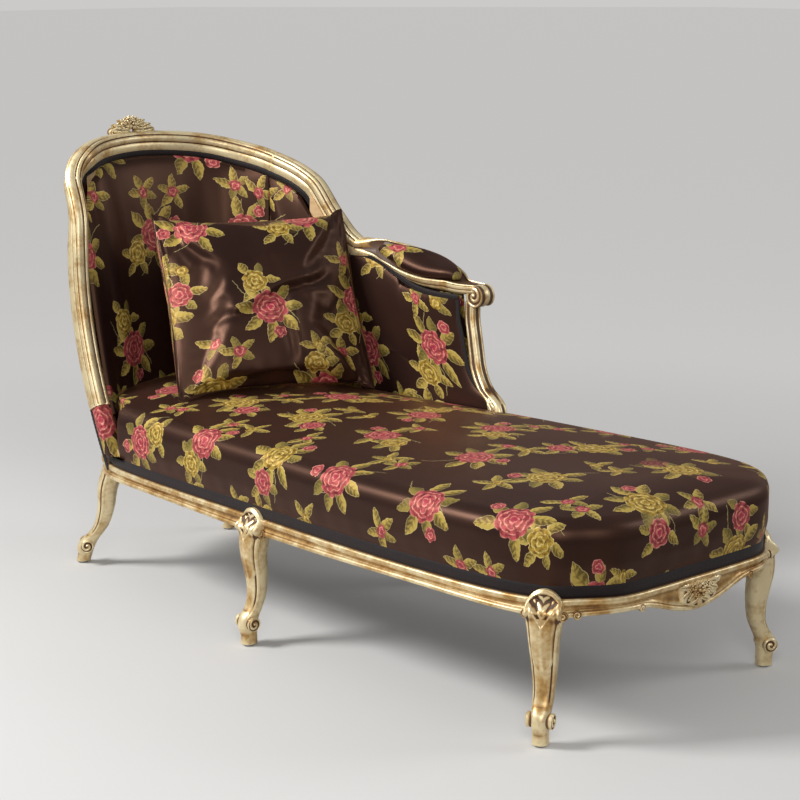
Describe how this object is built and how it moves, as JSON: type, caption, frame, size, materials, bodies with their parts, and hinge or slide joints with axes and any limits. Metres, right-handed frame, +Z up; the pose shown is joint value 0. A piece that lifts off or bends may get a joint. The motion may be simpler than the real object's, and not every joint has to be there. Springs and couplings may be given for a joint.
{
  "type": "chaise longue",
  "caption": "Upholstered chaise longue with a barrel back, one scrolled arm, carved gilded rails on cabriole legs and a loose square cushion",
  "frame": {"origin": "middle of the footprint on the floor, under the middle of the bounding box", "axes": "+X runs from the back to the foot end, the longest extent; the arm is on the +Y side and the open long side faces -Y; +Z is up"},
  "size_m": [1.822, 0.798, 1.0735],
  "materials": {
    "gilt_wood": "worn champagne-gold leaf over carved wood with a brown glaze in the grooves",
    "brocade": "dark brown satin brocade woven with roses and leaves",
    "braid": "matt dark aubergine gimp braid",
    "beech": "plain sawn beech, hidden",
    "webbing": "woven jute webbing, hidden",
    "filling": "soft filling, hidden",
    "cambric": "black cambric dust cover",
    "steel": "plain steel glides and screws"
  },
  "bodies": {
    "chaise": {"rail_rear": "gilt_wood", "rail_right_rear": "gilt_wood", "rail_right_front": "gilt_wood", "rail_foot": "gilt_wood", "rail_left_front": "gilt_wood", "rail_left_rear": "gilt_wood", "leg_rear_right": "gilt_wood", "leg_mid_right": "gilt_wood", "leg_foot_right": "gilt_wood", "leg_foot_left": "gilt_wood", "leg_mid_left": "gilt_wood", "leg_rear_left": "gilt_wood", "foot_glides": "steel", "corner_blocks": "beech", "corner_screws": "steel", "bearer_mid": "beech", "bearer_foot": "beech", "webbing_long": "webbing", "webbing_cross": "webbing", "seat_foam": "filling", "seat_cover": "brocade", "seat_gimp": "braid", "dust_cover": "cambric", "stile_left": "gilt_wood", "crest_rail": "gilt_wood", "sweep_rail": "gilt_wood", "wood_dowels": "beech", "arm_board": "gilt_wood", "arm_post": "gilt_wood", "crest_carving": "gilt_wood", "apron_carving": "gilt_wood", "post_left": "beech", "post_rear_left": "beech", "post_rear_right": "beech", "post_right": "beech", "tack_rail_left": "beech", "tack_rail_rear": "beech", "tack_rail_right": "beech", "inside_back": "brocade", "inside_wing": "brocade", "inside_arm": "brocade", "outside_back": "brocade", "outside_arm": "brocade", "stile_sleeve": "brocade", "back_gimp": "braid", "arm_gimp": "braid", "armrest_pad": "brocade"},
    "cushion": {"pillow_cover": "brocade", "pillow_insert": "filling"}
  },
  "joints": [
    {"name": "cushion_lift", "type": "slide", "parent": "chaise", "child": "cushion", "axis": [0, 0, 1], "range_m": [0, 0.3]}
  ]
}
